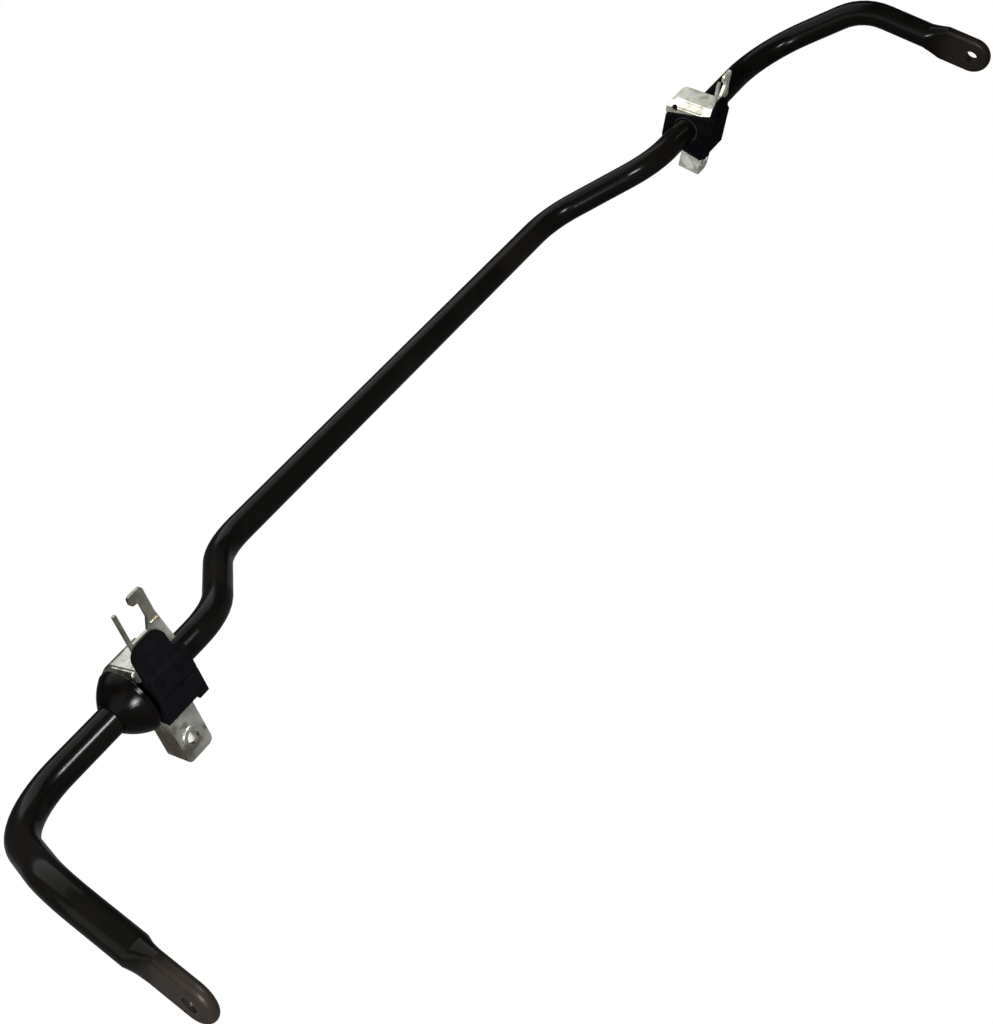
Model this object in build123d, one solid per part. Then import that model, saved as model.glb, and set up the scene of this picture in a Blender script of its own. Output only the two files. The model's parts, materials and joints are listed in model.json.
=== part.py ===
from build123d import *
from dataclasses import dataclass
from math import radians, tan
import os

# Sway bar with two clamp mounts. Millimetres, +Z up.
# The bar is mirrored about X = 0: its middle run lies along X, the two bush runs lie on one line
# parallel to X, and the arms reach towards -Y and drop towards -Z.
# A mount is drawn about the bar's axis with t (+Y) along its feet and n (+Z) out of its base,
# and is then turned about X to where it rests. The left pressing is the larger one.

# ---- bar ----
bar_diameter = 22.0
centre_half = 232.0         # half the middle run, to its corner
joggle_step_x = 69.0        # how far each joggle runs along X
joggle_step_y = 79.0        # how far the bush line is set back from the middle run
shoulder_x = 504.0          # corner where the bush run turns into the arm
arm_reach_x = 31.0          # first stretch of the arm, shoulder to elbow
arm_reach_y = 103.0
arm_reach_z = 2.0
drop_x = 5.0                # last stretch of the arm, elbow to link eye
drop_y = 80.0
drop_z = 73.0
joggle_radius = 55.0
shoulder_radius = 65.0
elbow_radius = 55.0

# ---- link eyes, forged flat at both ends ----
eye_width = 34.0
eye_thickness = 9.5
eye_hole = 12.2
eye_turn = 5.0              # turn of the flat about the arm, degrees
eye_straight = 28.0         # flat length before the hole's centre
eye_taper = 16.0            # round-to-flat length

# ---- clamp mounts ----
left_mount_x = 370.5        # middle of each bush, from the middle of the bar
right_mount_x = 378.0
left_turn = 106.0           # how far each mount has turned on the bar, degrees about X
right_turn = 131.0
left_width = 30.0           # width of the bracket's strap, along the bar
right_width = 24.0
left_foot_reach = 62.0      # bar's axis to the end of the bolted foot
right_foot_reach = 50.0
left_fork_reach = 75.0      # bar's axis to the tip of the hooked foot
right_fork_reach = 55.0
left_lip_reach = 44.0       # bar's axis to the end of the rubber lip that pads the hooked foot
right_lip_reach = 31.0
left_collar_radius = 25.5
right_collar_radius = 16.5

# ---- bush ----
running_clearance = 0.05    # liner to bar
seat_clearance = 0.1        # bush to liner, and bracket to bush
liner_wall = 1.2
liner_overhang = 0.8        # liner past each end of the bush
bush_half_width = 21.5      # half widths are those at the mounting face
bush_back = 22.0            # bar's axis to the back of the bush
bush_base = 25.0            # bar's axis to the free base of the bush
bush_corner = 6.0           # rounding of the back corners
base_chamfer = 4.0
lip_tip = 2.0               # thickness of the lip at its end
lip_corner = 9.0
rim_thickness = 6.5         # rim at the inboard end of the bush
rim_half_width = 25.5
rim_chamfer = 5.0
slit_width = 0.8

# ---- bracket ----
sheet = 2.5
bracket_base = 18.0         # bar's axis to the mounting face
draft = 7.0                 # how much bush and strap narrow towards the back, degrees on each side
foot_step = 5.0             # how much narrower each foot is than the strap
foot_wall = 20.0            # height of the folded walls of the bolted foot
bolt_hole = 10.5
bolt_inset = 16.0           # bolt's centre to the end of its foot
bolt_seat = 3.0             # width of the raised ring about the bolt hole
bolt_seat_height = 0.8
fork_stem = 7.0
fork_prong = 2.6
prong_inset = 3.0           # how much shorter the thin prong is
barb_depth = 8.0            # barb's root to the tip
barb_reach = 6.4            # how far the barb stands out from the stem
fork_rounding = 3.0
fork_overhang = 3.0         # how far the stem stands out past the end of the strap
fork_flare = 4.0            # how much the stem widens at its root, on either side
slot_inset = 1.5            # end of the rubber lip to the slot of the fork
ridge_width = 3.0           # low ridge across the root of the stem
cheek_drop = 12.8           # bar's axis to the free edge of the cheek
cheek_slope = -18.0         # slant of that edge, degrees
bevel = 6.5                 # slanted bend between strap and cheek, across each of the two
boss_length = 24.0
boss_width = 7.0
boss_height = 1.2
boss_middle = -3.0          # middle of the boss, out from the bar's axis
cheek_hole = 6.0
cheek_hole_out = 12.5       # hole's centre out from the bar's axis
cheek_hole_back = 8.0       # hole's centre to the bracket's back

# ---- stop collar ----
collar_play = 0.4           # bracket to collar
collar_rim = 4.0            # straight part at the bracket's end
collar_chamfer = 1.2
collar_nose = 12.5          # radius at the outboard end
collar_taper = 1.23         # length of the taper for each millimetre of radius it loses
collar_bulge = 0.06         # height of the taper's curve as a share of its length
collar_grip = 0.02          # radial clearance on the bar

bar_radius = bar_diameter / 2
liner_radius = bar_radius + running_clearance + liner_wall
bracket_inner = bush_half_width + seat_clearance
bracket_outer = bracket_inner + sheet
bracket_back = bush_back + seat_clearance + sheet
lip_root = bracket_base + seat_clearance


@dataclass
class Mount:
    """What differs from one side to the other. outboard is -1 on the left and 1 on the right."""
    side: str
    outboard: int
    x: float
    turn: float
    width: float
    foot_reach: float
    fork_reach: float
    lip_reach: float
    collar_radius: float

    def __post_init__(self):
        self.bush_length = self.width - 2 * seat_clearance
        self.rim_start = self.width / 2 + seat_clearance
        self.bush_end = self.rim_start + rim_thickness
        self.foot_width = self.width - foot_step
        self.foot_shift = foot_step / 2     # feet are flush with opposite edges of the strap
        self.seat = Pos(self.outboard * self.x, -joggle_step_y, 0) * Rot(self.turn, 0, 0)


mounts = [
    Mount("left", -1, left_mount_x, left_turn, left_width,
          left_foot_reach, left_fork_reach, left_lip_reach, left_collar_radius),
    Mount("right", 1, right_mount_x, right_turn, right_width,
          right_foot_reach, right_fork_reach, right_lip_reach, right_collar_radius)]


def bar_corners():
    """Corners of one half of the bar's centre line, from the middle to the link eye."""
    corner = Vector(centre_half, 0, 0)
    joggle = corner + Vector(joggle_step_x, -joggle_step_y, 0)
    shoulder = Vector(shoulder_x, -joggle_step_y, 0)
    elbow = shoulder + Vector(arm_reach_x, -arm_reach_y, arm_reach_z)
    eye = elbow + Vector(drop_x, -drop_y, -drop_z)
    return corner, joggle, shoulder, elbow, eye


def quartered_section(plane, half_width, half_height):
    """Stadium of four edges, or a circle where both halves are equal, ready to loft."""
    is_round = half_width == half_height
    reach = half_width * 2 ** -0.5 if is_round else half_width - half_height
    rise = reach if is_round else half_height
    corners = [(reach, rise), (-reach, rise), (-reach, -rise), (reach, -rise)]
    middles = [(0, half_height), (-half_width, 0), (0, -half_height), (half_width, 0)]
    edges = []
    for index, middle in enumerate(middles):
        start, end = corners[index], corners[(index + 1) % 4]
        if is_round or index % 2 == 1:
            edges.append(ThreePointArc(start, middle, end))
        else:
            edges.append(Line(start, end))
    return plane * make_face(Wire(edges))


def link_eye():
    """Flat end of the arm: round-to-flat taper, straight flat and a round end about the hole."""
    elbow, eye = bar_corners()[3:]
    along = (eye - elbow).normalized()
    side = along.cross(Vector(1, 0, 0)).normalized()
    flat_normal = along.cross(side).rotate(Axis((0, 0, 0), along), eye_turn)
    across = flat_normal.cross(along)
    flat_start = eye - along * eye_straight
    taper_start = flat_start - along * eye_taper
    round_end = quartered_section(Plane(taper_start, across, along), bar_radius, bar_radius)
    flat_end = quartered_section(Plane(flat_start, across, along), eye_width / 2, eye_thickness / 2)
    taper = loft([round_end, flat_end])
    outline = Rectangle(eye_straight, eye_width, align=(Align.MAX, Align.CENTER)) + Circle(eye_width / 2)
    pad = extrude(outline, eye_thickness / 2, both=True)
    rims = pad.edges().filter_by(Plane.XY).filter_by(lambda edge: edge.center().X > -eye_straight + 0.1)
    pad = fillet(rims, eye_thickness / 2 - 0.05)
    pad -= Cylinder(eye_hole / 2, 2 * eye_thickness)
    return taper + Plane(eye, along, flat_normal) * pad, taper_start


def half_bar():
    """One half of the bar, from the middle plane to its link eye."""
    corner, joggle, shoulder, elbow, _ = bar_corners()
    eye_end, taper_start = link_eye()
    radii = [joggle_radius, joggle_radius, shoulder_radius, elbow_radius]
    path = FilletPolyline((0, 0, 0), corner, joggle, shoulder, elbow, taper_start, radius=radii)
    return sweep(Plane.YZ * Circle(bar_radius), path=path) + eye_end


def sway_bar():
    half = half_bar()
    return half + half.mirror(Plane.YZ)


def across_bar(outline, start, length):
    """Extrude an outline drawn in (t, n) along the bar, beginning at start."""
    return Pos(start, 0, 0) * extrude(Plane.YZ * outline, length)


def narrowing(depth):
    """How much each side has drawn in at a depth behind the mounting face."""
    return depth * tan(radians(draft))


def clamp_outline(side, back, base, corner):
    """Section with a flat base, drawn-in sides and a flat back between two rounded corners."""
    at_back = side - narrowing(bracket_base + back)
    at_base = side - narrowing(bracket_base - base)
    outline = make_face(Polyline(
        (-at_back, -back), (at_back, -back), (at_base, base), (-at_base, base), close=True))
    return fillet(outline.vertices().sort_by(Axis.Y)[:2], corner)


def beyond_cheek_edge(shift):
    """Everything on the cheek's side of its free edge, with that edge moved out by shift."""
    reach = 3 * bracket_outer
    area = Rectangle(reach, 2 * reach, align=(Align.MIN, Align.CENTER))
    return Rot(0, 0, cheek_slope) * Pos(cheek_drop + shift, 0) * area


def sharp_corner(mount):
    """Where strap and cheek would meet without their bevel: z runs along that edge, towards the base."""
    return Pos(-mount.width / 2 - sheet, bracket_outer, bracket_base) * Rot(-draft, 0, 0)


def beyond_bevel(mount, shift):
    """Everything past the slanted bend between strap and cheek, with its face moved out by shift."""
    reach = 6 * bracket_outer
    area = Box(reach, reach, reach, align=(Align.CENTER, Align.MIN, Align.CENTER))
    return sharp_corner(mount) * Rot(0, 0, 45) * Pos(0, shift - bevel * 2 ** -0.5, 0) * area


def bush(mount):
    """Rubber block with a padded base, a rim at its inboard end, a bore and a fitting slit."""
    inboard = -mount.outboard
    outline = clamp_outline(bush_half_width, bush_back, bush_base, bush_corner)
    outline = chamfer(outline.vertices().sort_by(Axis.Y)[-2:], base_chamfer)
    lip_slope = bush_base - base_chamfer - lip_root
    lip = Polyline(
        (0, lip_root), (mount.lip_reach, lip_root), (mount.lip_reach, lip_root + lip_tip),
        (bush_half_width, lip_root + lip_tip + lip_slope), (0, bush_base), close=True)
    rim_outline = clamp_outline(rim_half_width, bush_back, bush_base, bush_corner)
    rim_outline = chamfer(rim_outline.vertices().sort_by(Axis.Y)[-2:], rim_chamfer)
    rim_outline -= beyond_cheek_edge(-seat_clearance)
    block = across_bar(outline, -mount.bush_length / 2, mount.bush_length)
    block += across_bar(outline - beyond_cheek_edge(-seat_clearance), 0, inboard * mount.bush_end)
    block -= beyond_bevel(mount, -sheet - seat_clearance)
    pad = across_bar(make_face(lip), -mount.bush_length / 2, mount.bush_length)
    block += fillet(pad.edges().filter_by(Axis.Z).sort_by(Axis.Y)[-2:], lip_corner)
    block += across_bar(rim_outline, inboard * mount.rim_start, inboard * rim_thickness)
    bore = Rot(0, 90, 0) * Cylinder(liner_radius + seat_clearance, 3 * mount.bush_length)
    slit = Box(3 * mount.bush_length, slit_width, bush_base, align=(Align.CENTER, Align.CENTER, Align.MIN))
    return block - bore - Pos(0, 0, bar_radius) * slit


def bush_liner(mount):
    """Slip sleeve between the bar and the bush, a little longer than the bush."""
    length = mount.bush_length / 2 + mount.bush_end + 2 * liner_overhang
    tube = Cylinder(liner_radius, length) - Cylinder(bar_radius + running_clearance, length)
    middle = -mount.outboard * (mount.bush_end - mount.bush_length / 2) / 2
    return Pos(middle, 0, 0) * Rot(0, 90, 0) * tube


def stop_collar(mount):
    """Round collar on the bar, outboard of the bush: a rim, then a taper to the bar in a slight curve."""
    bore = bar_radius + collar_grip
    radius = mount.collar_radius
    loss = radius - collar_nose
    taper = collar_taper * loss
    end = collar_rim + taper
    swell = (collar_bulge * taper, 0, collar_bulge * loss)
    halfway = Vector((radius + collar_nose) / 2, 0, collar_rim + taper / 2) + swell
    outline = Polyline((collar_nose, 0, end), (bore, 0, end), (bore, 0, 0),
                       (radius - collar_chamfer, 0, 0), (radius, 0, collar_chamfer), (radius, 0, collar_rim))
    curve = ThreePointArc((radius, 0, collar_rim), halfway, (collar_nose, 0, end))
    body = revolve(make_face(outline + curve), Axis.Z, 360)
    start = mount.width / 2 + sheet + collar_play
    return Rot(0, 90 * mount.outboard, 0) * Pos(0, 0, start) * body


def strap_hollow(mount):
    """The space for the bush inside the strap and its cheek."""
    inside = clamp_outline(bracket_inner, bracket_back - sheet, bracket_base, bush_corner)
    hollow = across_bar(inside, -mount.width / 2, mount.width) - beyond_bevel(mount, -sheet)
    return hollow + across_bar(inside - beyond_cheek_edge(0), -mount.width / 2, mount.width)


def boss(mount):
    """Raised rectangular pad on the slanted bend between strap and cheek."""
    pad = Box(boss_width, boss_height, boss_length, align=(Align.CENTER, Align.MIN, Align.CENTER))
    pad = chamfer(pad.faces().sort_by(Axis.Y)[-1].edges(), 0.6 * boss_height)
    return sharp_corner(mount) * Pos(bevel / 2, -bevel / 2, boss_middle - bracket_base) * Rot(0, 0, 45) * pad


def strap(mount):
    """U-shaped strap, open towards the base, with a cheek bent in over part of its -X end and a boss."""
    outside = clamp_outline(bracket_outer, bracket_back, bracket_base, bush_corner + sheet)
    end = -mount.width / 2
    shell = across_bar(outside, end - sheet, mount.width + sheet) - beyond_bevel(mount, 0)
    shell += boss(mount)
    shell -= strap_hollow(mount)
    shell -= across_bar(outside - beyond_cheek_edge(0), end - sheet, sheet)
    hole = Pos(cheek_hole_out, cheek_hole_back - bracket_back) * Circle(cheek_hole / 2)
    return shell - across_bar(hole, end - sheet, 2 * sheet)


def bolted_foot(mount):
    """Foot towards -t: a plate with a bolt hole in a raised ring, and walls on three sides."""
    root = bracket_inner - narrowing(foot_wall)
    length = mount.foot_reach - root
    from_root = (Align.CENTER, Align.MAX, Align.MAX)
    plate = Box(mount.foot_width, length, foot_wall, align=from_root)
    plate = fillet(plate.edges().filter_by(Axis.Z).sort_by(Axis.Y)[:2], 2 * sheet)
    plate -= Pos(0, sheet, -sheet) * Box(mount.foot_width - 2 * sheet, length, foot_wall, align=from_root)
    foot = Pos(-mount.foot_shift, -root, bracket_base) * plate - strap_hollow(mount)
    from_base = (Align.CENTER, Align.CENTER, Align.MIN)
    seat = Cylinder(bolt_hole / 2 + bolt_seat, bolt_seat_height, align=from_base)
    bolt_place = Pos(-mount.foot_shift, bolt_inset - mount.foot_reach, bracket_base)
    return foot + bolt_place * seat - bolt_place * Cylinder(bolt_hole / 2, 3 * sheet)


def hooked_foot(mount):
    """Foot towards +t: a fork of a stem with a barb at its tip and a thin prong."""
    half = mount.foot_width / 2
    overhang = rim_half_width + seat_clearance
    stem_side = half + fork_overhang
    stem_edge = stem_side - fork_stem
    prong_edge = fork_prong - half
    barb_root = mount.fork_reach - barb_depth
    prong_end = mount.fork_reach - prong_inset
    slot_end = mount.lip_reach + slot_inset
    flare_end = slot_end + 2 * fork_flare
    outline = make_face(Polyline(
        (-half, bracket_inner), (half, bracket_inner), (half, overhang), (stem_side + fork_flare, overhang),
        (stem_side, flare_end), (stem_side, mount.fork_reach), (stem_edge - barb_reach, mount.fork_reach),
        (stem_edge - barb_reach, barb_root), (stem_edge, barb_root), (stem_edge, flare_end),
        (stem_edge - fork_flare, slot_end), (prong_edge, slot_end), (prong_edge, prong_end),
        (-half, prong_end), close=True))
    tip_corners = outline.vertices().filter_by(lambda corner: corner.X > prong_edge and corner.Y > flare_end)
    outline = fillet(tip_corners, fork_rounding)
    ridge = Box(fork_stem, ridge_width, sheet + bolt_seat_height, align=(Align.MAX, Align.MIN, Align.MIN))
    fork = extrude(outline, -sheet) + Pos(stem_side, slot_end, -sheet) * ridge
    return Pos(mount.foot_shift, 0, bracket_base) * fork


def bracket(mount):
    """Pressed bracket: strap with its cheek and boss, and two unlike feet."""
    return strap(mount) + bolted_foot(mount) + hooked_foot(mount)


def main():
    os.makedirs("parts", exist_ok=True)
    pieces = {"sway_bar": sway_bar()}
    for mount in mounts:
        pieces[mount.side + "_bush"] = mount.seat * bush(mount)
        pieces[mount.side + "_bush_liner"] = mount.seat * bush_liner(mount)
        pieces[mount.side + "_bracket"] = mount.seat * bracket(mount)
        pieces[mount.side + "_stop_collar"] = mount.seat * stop_collar(mount)
    for name, piece in pieces.items():
        export_step(piece, f"parts/{name}.step")


main()
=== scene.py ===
import json
from math import pi

import bpy
from mathutils import Matrix, Vector


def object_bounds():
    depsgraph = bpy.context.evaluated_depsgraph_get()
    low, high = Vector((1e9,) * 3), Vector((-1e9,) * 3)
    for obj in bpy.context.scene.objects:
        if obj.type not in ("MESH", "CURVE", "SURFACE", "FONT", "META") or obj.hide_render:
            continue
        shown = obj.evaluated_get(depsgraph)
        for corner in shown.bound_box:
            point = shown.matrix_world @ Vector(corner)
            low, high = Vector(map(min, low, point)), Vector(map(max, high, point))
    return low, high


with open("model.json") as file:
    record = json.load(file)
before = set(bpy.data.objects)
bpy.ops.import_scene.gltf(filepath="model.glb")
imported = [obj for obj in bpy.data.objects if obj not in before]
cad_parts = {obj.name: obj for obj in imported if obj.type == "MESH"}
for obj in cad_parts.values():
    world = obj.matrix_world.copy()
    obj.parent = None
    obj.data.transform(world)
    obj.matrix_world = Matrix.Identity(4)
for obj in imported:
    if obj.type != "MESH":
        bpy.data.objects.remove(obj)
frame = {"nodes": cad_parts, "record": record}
cad_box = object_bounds()


# ---- Bar ----
# One length of round spring steel, bent hot, with its two ends forged flat and pierced for the
# drop links. It is shot-blasted and baked in a glossy black coat, which lies thinner and browner
# on the forged ends and is rubbed off inside the holes.

def new_group(name, inputs, outputs):
    """An empty shader group. Inputs are (name, value), outputs are names; all are numbers."""
    group = bpy.data.node_groups.new(name, "ShaderNodeTree")
    for socket_name, value in inputs:
        socket = group.interface.new_socket(
            name=socket_name, in_out="INPUT", socket_type="NodeSocketFloat")
        socket.default_value = value
    for socket_name in outputs:
        group.interface.new_socket(
            name=socket_name, in_out="OUTPUT", socket_type="NodeSocketFloat")
    return group, group.nodes.new("NodeGroupInput"), group.nodes.new("NodeGroupOutput")


def fade_node(nodes):
    """A Map Range that falls from 1 at its From Min to 0 at its From Max."""
    fade = nodes.new("ShaderNodeMapRange")
    fade.inputs["To Min"].default_value = 1.0
    fade.inputs["To Max"].default_value = 0.0
    return fade


def patches_group():
    """Noise on Object coordinates, stretched to a 0-to-1 mask between two thresholds."""
    inputs = [("Scale", 40.0), ("Detail", 4.0), ("Low", 0.4), ("High", 0.65)]
    group, source, sink = new_group("patches", inputs, ["Mask"])
    place = group.nodes.new("ShaderNodeTexCoord")
    noise = group.nodes.new("ShaderNodeTexNoise")
    stretch = group.nodes.new("ShaderNodeMapRange")
    group.links.new(place.outputs["Object"], noise.inputs["Vector"])
    group.links.new(source.outputs["Scale"], noise.inputs["Scale"])
    group.links.new(source.outputs["Detail"], noise.inputs["Detail"])
    group.links.new(noise.outputs["Fac"], stretch.inputs["Value"])
    group.links.new(source.outputs["Low"], stretch.inputs["From Min"])
    group.links.new(source.outputs["High"], stretch.inputs["From Max"])
    group.links.new(stretch.outputs["Result"], sink.inputs["Mask"])
    return group


def specks_group():
    """Distance to the nearest of many scattered points, cut to small soft-edged dots."""
    group, source, sink = new_group("specks", [("Scale", 400.0), ("Size", 0.2)], ["Mask"])
    place = group.nodes.new("ShaderNodeTexCoord")
    cells = group.nodes.new("ShaderNodeTexVoronoi")
    cut = fade_node(group.nodes)
    group.links.new(place.outputs["Object"], cells.inputs["Vector"])
    group.links.new(source.outputs["Scale"], cells.inputs["Scale"])
    group.links.new(cells.outputs["Distance"], cut.inputs["Value"])
    group.links.new(source.outputs["Size"], cut.inputs["From Max"])
    group.links.new(cut.outputs["Result"], sink.inputs["Mask"])
    return group


def hole_reach_group(centre, axis):
    """Distance from the axis of either eye's hole: 1 up to Near, fading to 0 at Far."""
    group, source, sink = new_group("hole_reach", [("Near", 0.010), ("Far", 0.020)], ["Mask"])
    place = group.nodes.new("ShaderNodeTexCoord")
    fold = group.nodes.new("ShaderNodeVectorMath")
    fold.operation = "ABSOLUTE"
    apart = group.nodes.new("ShaderNodeSeparateXYZ")
    folded = group.nodes.new("ShaderNodeSeparateXYZ")
    right_half = group.nodes.new("ShaderNodeCombineXYZ")
    from_centre = group.nodes.new("ShaderNodeVectorMath")
    from_centre.operation = "SUBTRACT"
    from_centre.inputs[1].default_value = centre
    off_axis = group.nodes.new("ShaderNodeVectorMath")
    off_axis.operation = "CROSS_PRODUCT"
    off_axis.inputs[1].default_value = axis
    distance = group.nodes.new("ShaderNodeVectorMath")
    distance.operation = "LENGTH"
    fade = fade_node(group.nodes)
    group.links.new(place.outputs["Object"], fold.inputs[0])
    group.links.new(place.outputs["Object"], apart.inputs["Vector"])
    group.links.new(fold.outputs["Vector"], folded.inputs["Vector"])
    group.links.new(folded.outputs["X"], right_half.inputs["X"])
    group.links.new(apart.outputs["Y"], right_half.inputs["Y"])
    group.links.new(apart.outputs["Z"], right_half.inputs["Z"])
    group.links.new(right_half.outputs["Vector"], from_centre.inputs[0])
    group.links.new(from_centre.outputs["Vector"], off_axis.inputs[0])
    group.links.new(off_axis.outputs["Vector"], distance.inputs[0])
    group.links.new(distance.outputs["Value"], fade.inputs["Value"])
    group.links.new(source.outputs["Near"], fade.inputs["From Min"])
    group.links.new(source.outputs["Far"], fade.inputs["From Max"])
    group.links.new(fade.outputs["Result"], sink.inputs["Mask"])
    return group


def new_finish(name):
    """A material with its tree and its Principled shader."""
    finish = bpy.data.materials.new(name)
    finish.use_nodes = True
    return finish, finish.node_tree, finish.node_tree.nodes["Principled BSDF"]


def mask_from(tree, group, **values):
    """A shared effect's mask in a material's tree, with this material's own values."""
    node = tree.nodes.new("ShaderNodeGroup")
    node.node_tree = group
    for socket_name, value in values.items():
        node.inputs[socket_name].default_value = value
    return node.outputs["Mask"]


def between(tree, mask, low, high):
    """A number that goes from low to high with a mask."""
    blend = tree.nodes.new("ShaderNodeMapRange")
    blend.inputs["To Min"].default_value = low
    blend.inputs["To Max"].default_value = high
    tree.links.new(mask, blend.inputs["Value"])
    return blend.outputs["Result"]


def mixed_colour(tree, mask, first, second):
    """A colour that goes from first, a socket or a colour, to second with a mask."""
    mix = tree.nodes.new("ShaderNodeMix")
    mix.data_type = "RGBA"
    if isinstance(first, bpy.types.NodeSocket):
        tree.links.new(first, mix.inputs["A"])
    else:
        mix.inputs["A"].default_value = (*first, 1.0)
    mix.inputs["B"].default_value = (*second, 1.0)
    tree.links.new(mask, mix.inputs["Factor"])
    return mix.outputs["Result"]


def roughen(tree, shader, height, distance):
    """Feeds a height to the shader's normal."""
    bump = tree.nodes.new("ShaderNodeBump")
    bump.inputs["Distance"].default_value = distance
    tree.links.new(height, bump.inputs["Height"])
    tree.links.new(bump.outputs["Normal"], shader.inputs["Normal"])


def paint(node_names, finish):
    """Gives CAD nodes a finish in every material slot."""
    for name in node_names:
        for slot in frame["nodes"][name].material_slots:
            slot.material = finish


patches = patches_group()
specks = specks_group()
mounts = {mount["name"]: mount for mount in frame["record"]["mounts"]}
eye_mount = mounts["right_link_eye"]
hole_radius = eye_mount["dims"]["r_mm"] / 1000
hole_reach = hole_reach_group(eye_mount["pos_m"], eye_mount["axis"])

coat_edge = hole_radius + 0.0003        # the coat is bare up to here from the hole's axis
whole_coat = hole_radius + 0.0009       # and whole from here on
forged_reach = 3 * hole_radius          # the browned stretch about each hole
forged_fade = 6 * hole_radius


def baked_coat():
    """Near-black paint with a faint brown bloom and dust, browned on the ends, bare in the holes."""
    finish, tree, shader = new_finish("black_baked_coat")
    bloom = mask_from(tree, patches, Scale=9.0, Detail=5.0, Low=0.50, High=0.74)
    forged_end = mask_from(tree, hole_reach, Near=forged_reach, Far=forged_fade)
    bare_hole = mask_from(tree, hole_reach, Near=coat_edge, Far=whole_coat)
    dust = mask_from(tree, specks, Scale=900.0, Size=0.16)
    waves = mask_from(tree, patches, Scale=70.0, Detail=2.0, Low=0.2, High=0.8)
    colour = mixed_colour(tree, bloom, (0.0017, 0.0016, 0.0013), (0.0050, 0.0041, 0.0033))
    colour = mixed_colour(tree, forged_end, colour, (0.0095, 0.0072, 0.0056))
    colour = mixed_colour(tree, dust, colour, (0.0056, 0.0052, 0.0048))
    colour = mixed_colour(tree, bare_hole, colour, (0.045, 0.041, 0.037))
    tree.links.new(colour, shader.inputs["Base Color"])
    tree.links.new(between(tree, forged_end, 0.20, 0.38), shader.inputs["Roughness"])
    tree.links.new(between(tree, bare_hole, 0.0, 0.85), shader.inputs["Metallic"])
    shader.inputs["IOR"].default_value = 1.15
    roughen(tree, shader, waves, 0.00003)
    return finish


paint(["sway_bar"], baked_coat())


# ---- Bushes ----
# Two blocks of natural rubber, moulded with a bore, a padded base and a fitting slit. Each is
# opened at its slit, slipped over its liner on the bar and held there by its bracket.

def moulded_finish(name, dark, light, smooth, dull, ior):
    """A moulded skin in two tones, each with its own roughness, with a fine grain."""
    finish, tree, shader = new_finish(name)
    skin = mask_from(tree, patches, Scale=120.0, Detail=6.0, Low=0.3, High=0.7)
    grain = mask_from(tree, patches, Scale=1500.0, Detail=3.0, Low=0.2, High=0.8)
    tree.links.new(mixed_colour(tree, skin, dark, light), shader.inputs["Base Color"])
    tree.links.new(between(tree, skin, smooth, dull), shader.inputs["Roughness"])
    shader.inputs["IOR"].default_value = ior
    roughen(tree, shader, grain, 0.00004)
    return finish


paint(["left_bush", "right_bush"], moulded_finish(
    "natural_rubber", dark=(0.0010, 0.0009, 0.0013), light=(0.0019, 0.0018, 0.0025),
    smooth=0.60, dull=0.78, ior=1.09))


# ---- Bush liners ----
# Two thin sleeves of dark slippery plastic between bar and bush, so that the rubber turns freely
# on the bar. Only their ends show. They are whole tubes here, with no slit for fitting them.

paint(["left_bush_liner", "right_bush_liner"], moulded_finish(
    "slip_plastic", dark=(0.008, 0.008, 0.008), light=(0.013, 0.013, 0.014),
    smooth=0.3, dull=0.4, ior=1.22))


# ---- Brackets ----
# Two pressings of steel sheet, each a strap over its bush, a hooked foot and a channel-shaped foot
# with a bolt hole, barrel-plated with zinc: satin, cloudy and stained where the rinse has dried.
# The two are painted as lit and shaded copies of one plating: the left one darker, as painted
# shade, darkest at its hook, and brown on the outer wall of its bolted foot, also painted shade;
# the right one lighter, as painted light.

def near_point(tree, point, near, far):
    """1 up to near from a point, fading to 0 at far."""
    place = tree.nodes.new("ShaderNodeTexCoord")
    distance = tree.nodes.new("ShaderNodeVectorMath")
    distance.operation = "DISTANCE"
    distance.inputs[1].default_value = point
    fade = fade_node(tree.nodes)
    fade.inputs["From Min"].default_value = near
    fade.inputs["From Max"].default_value = far
    tree.links.new(place.outputs["Object"], distance.inputs[0])
    tree.links.new(distance.outputs["Value"], fade.inputs["Value"])
    return fade.outputs["Result"]


def zinc_plating(name, cloudy, clean, stained, smooth, dull, painted_shade_patches=()):
    """Plating in three tones, dull where clean. Each patch of painted shade is (point, near, far,
    colour).
    """
    finish, tree, shader = new_finish(name)
    clouds = mask_from(tree, patches, Scale=60.0, Detail=5.0, Low=0.38, High=0.62)
    stains = mask_from(tree, patches, Scale=130.0, Detail=6.0, Low=0.52, High=0.64)
    grit = mask_from(tree, specks, Scale=1100.0, Size=0.25)
    colour = mixed_colour(tree, clouds, cloudy, clean)
    for point, near, far, tone in painted_shade_patches:
        colour = mixed_colour(tree, near_point(tree, point, near, far), colour, tone)
    colour = mixed_colour(tree, stains, colour, stained)
    tree.links.new(colour, shader.inputs["Base Color"])
    tree.links.new(between(tree, clouds, smooth, dull), shader.inputs["Roughness"])
    shader.inputs["Metallic"].default_value = 0.95
    roughen(tree, shader, grit, 0.00003)
    return finish


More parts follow.
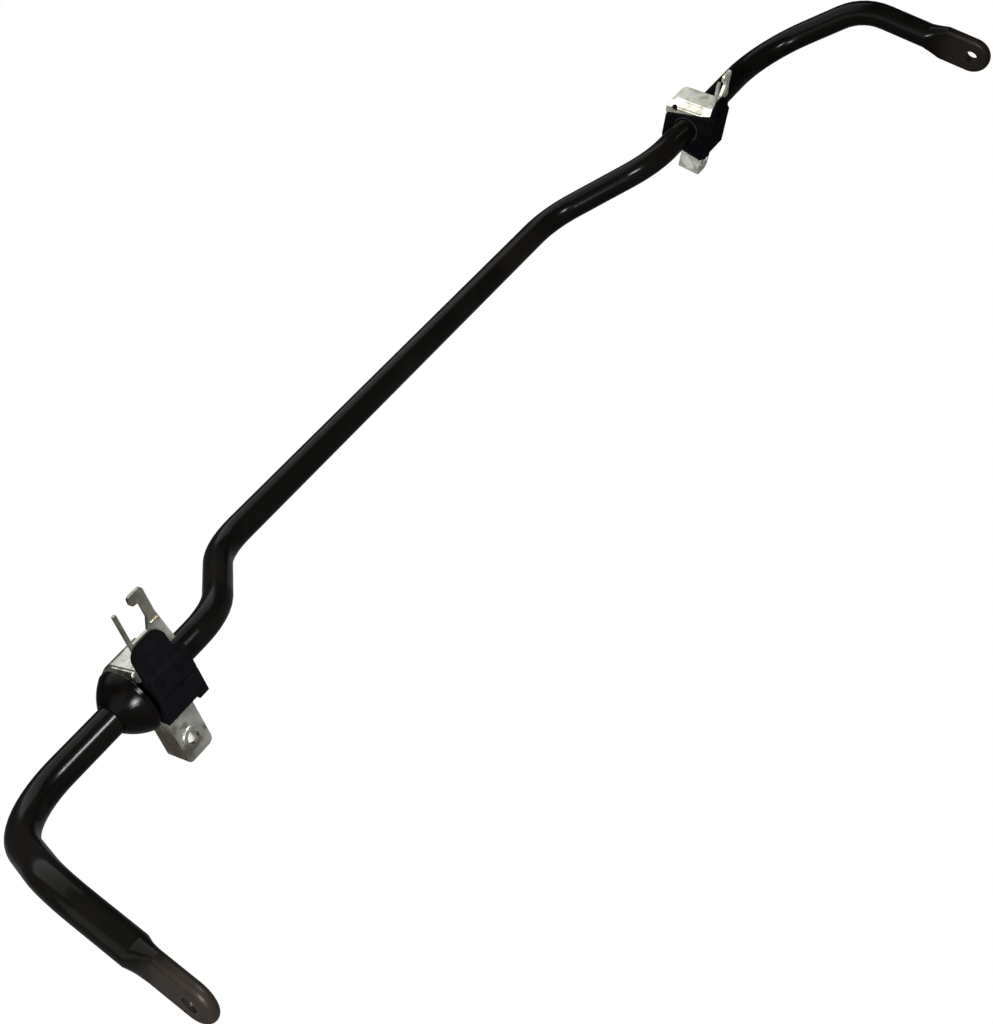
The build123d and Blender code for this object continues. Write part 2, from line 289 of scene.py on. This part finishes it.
bolt_to_hook = 0.114
foot_half_width = 0.0125
wall_half_height = 0.010
shade_ball = 0.2     # so large a ball is nearly flat where it meets the foot's outer wall
along_bar = Vector((1, 0, 0))
bolt_mount = mounts["left_bracket_bolt"]
bolt, bolt_axis = Vector(bolt_mount["pos_m"]), Vector(bolt_mount["axis"])
along_feet = bolt_axis.cross(along_bar).normalized()
if along_feet.dot(bolt) > 0:
    along_feet.negate()
hook = bolt + bolt_to_hook * along_feet
outer_wall = bolt - wall_half_height * bolt_axis - foot_half_width * along_bar
# painted shade: the hook is painted darker, for the shade and dark reflection it shows
painted_shade_at_hook = (hook, 0.016, 0.040, (0.15, 0.15, 0.13))
# painted shade: the foot's outer wall is painted brown, for the shade that lies on it
painted_shade_on_wall = (outer_wall - shade_ball * along_bar, shade_ball + 0.0006,
                shade_ball + 0.0016, (0.12, 0.085, 0.052))
# painted shade: the left copy's tones are darkened, with a darker hook and a brown outer wall
paint(["left_bracket"], zinc_plating(
    "shaded_zinc_plating", cloudy=(0.34, 0.35, 0.31), clean=(0.56, 0.56, 0.51),
    stained=(0.24, 0.21, 0.16), smooth=0.24, dull=0.36, painted_shade_patches=[painted_shade_at_hook, painted_shade_on_wall]))
# painted light: the right copy of the same plating has lightened tones
paint(["right_bracket"], zinc_plating(
    "zinc_plating", cloudy=(0.68, 0.69, 0.57), clean=(0.92, 0.92, 0.88),
    stained=(0.52, 0.50, 0.37), smooth=0.44, dull=0.54))


# ---- Stop collars ----
# Two collars of hard black plastic, each a rim with a taper down to the bar. They are pressed on
# the bar against the outer ends of the mounts, so that the bar can't slide sideways.

paint(["left_stop_collar", "right_stop_collar"], moulded_finish(
    "collar_plastic", dark=(0.0008, 0.0007, 0.0006), light=(0.0016, 0.0014, 0.0012),
    smooth=0.13, dull=0.18, ior=1.13))


# ---- Floor and room ----
# A pale floor just under the lowest point of the part, in a white room. Both are plain white to
# look at and dim in the part's own gloss, as if it lay on a light table in a dark studio.

def white_to_look_at(tree, white, dim, output):
    """Shows the white shader to the camera and the dim one to every other ray."""
    path = tree.nodes.new("ShaderNodeLightPath")
    choice = tree.nodes.new("ShaderNodeMixShader")
    white.inputs["Color"].default_value = (1.0, 1.0, 1.0, 1.0)
    white.inputs["Strength"].default_value = 1.0
    tree.links.new(path.outputs["Is Camera Ray"], choice.inputs["Fac"])
    tree.links.new(dim.outputs[0], choice.inputs[1])
    tree.links.new(white.outputs[0], choice.inputs[2])
    tree.links.new(choice.outputs["Shader"], output.inputs["Surface"])


floor_gap = 0.0005
floor_half = 12.0
dim_floor = 0.12
dim_room_strength = 0.07
low, high = Vector(cad_box[0]), Vector(cad_box[1])
middle = (low + high) / 2

floor_mesh = bpy.data.meshes.new("floor")
corners = [(x * floor_half, y * floor_half, low.z - floor_gap)
           for x, y in ((-1, -1), (1, -1), (1, 1), (-1, 1))]
floor_mesh.from_pydata(corners, [], [(0, 1, 2, 3)])
floor = bpy.data.objects.new("floor", floor_mesh)
bpy.context.scene.collection.objects.link(floor)
floor_paint, floor_tree, floor_shader = new_finish("pale_floor")
floor_shader.inputs["Base Color"].default_value = (dim_floor, dim_floor, dim_floor, 1.0)
floor_shader.inputs["Roughness"].default_value = 0.9
white_to_look_at(floor_tree, floor_tree.nodes.new("ShaderNodeEmission"), floor_shader,
                 floor_tree.nodes["Material Output"])
floor_mesh.materials.append(floor_paint)

room = bpy.data.worlds.new("white_room")
room.use_nodes = True
dim_room = room.node_tree.nodes["Background"]
dim_room.inputs["Color"].default_value = (1.0, 1.0, 1.0, 1.0)
dim_room.inputs["Strength"].default_value = dim_room_strength
white_to_look_at(room.node_tree, room.node_tree.nodes.new("ShaderNodeBackground"), dim_room,
                 room.node_tree.nodes["World Output"])
bpy.context.scene.world = room


# ---- Lamps ----
# A small bright key in front, for the thin line along the coat of the bar, a large weak panel
# overhead, for the pale upward faces of the plating, a panel on the left, and a small spot in
# front, for the glint on the left stop collar.

def lamp(name, place, aim, width, height, brightness):
    """A rectangular lamp at a place, turned to face aim, and not itself in the picture."""
    data = bpy.data.lights.new(name, "AREA")
    data.shape = "RECTANGLE"
    data.size = width
    data.size_y = height
    data.energy = brightness * pi * width * height
    body = bpy.data.objects.new(name, data)
    body.visible_camera = False
    facing = (Vector(aim) - Vector(place)).to_track_quat("-Z", "Y").to_matrix().to_4x4()
    body.matrix_world = Matrix.Translation(Vector(place)) @ facing
    bpy.context.scene.collection.objects.link(body)


lamp("key", place=(-0.18, -0.72, 0.30), aim=(-0.18, -0.10, 0.0),
     width=0.13, height=0.12, brightness=180.0)
lamp("overhead", place=(0.25, 0.7, 1.6), aim=(0.25, 0.7, 0.0),
     width=2.9, height=2.2, brightness=2.3)
lamp("left_panel", place=(-1.8, -0.3, 0.5), aim=middle, width=1.2, height=1.2, brightness=1.8)
lamp("front_spot", place=(-1.09, -0.79, 0.08), aim=(-0.40, -0.08, 0.0),
     width=0.17, height=0.17, brightness=250.0)


# ---- Camera ----
# It looks down on the bar from in front of its left end, and is rolled so that the bar runs from
# the lower left to the upper right.

eye_point = Vector((-0.7755, -1.0435, 0.4223))
sight = Vector((0.5452, 0.7310, -0.4103)).normalized()
rough_right = Vector((0.5508, -0.6814, -0.4820))
camera_right = (rough_right - sight * rough_right.dot(sight)).normalized()
camera_up = camera_right.cross(sight)
camera_data = bpy.data.cameras.new("camera")
camera_data.lens = 58.0
camera_data.sensor_width = 36.0
camera_data.shift_y = 0.008
camera = bpy.data.objects.new("camera", camera_data)
turned = Matrix((camera_right, camera_up, -sight)).transposed().to_4x4()
camera.matrix_world = Matrix.Translation(eye_point) @ turned
bpy.context.scene.collection.objects.link(camera)
bpy.context.scene.camera = camera
bpy.context.scene.view_settings.view_transform = "Standard"
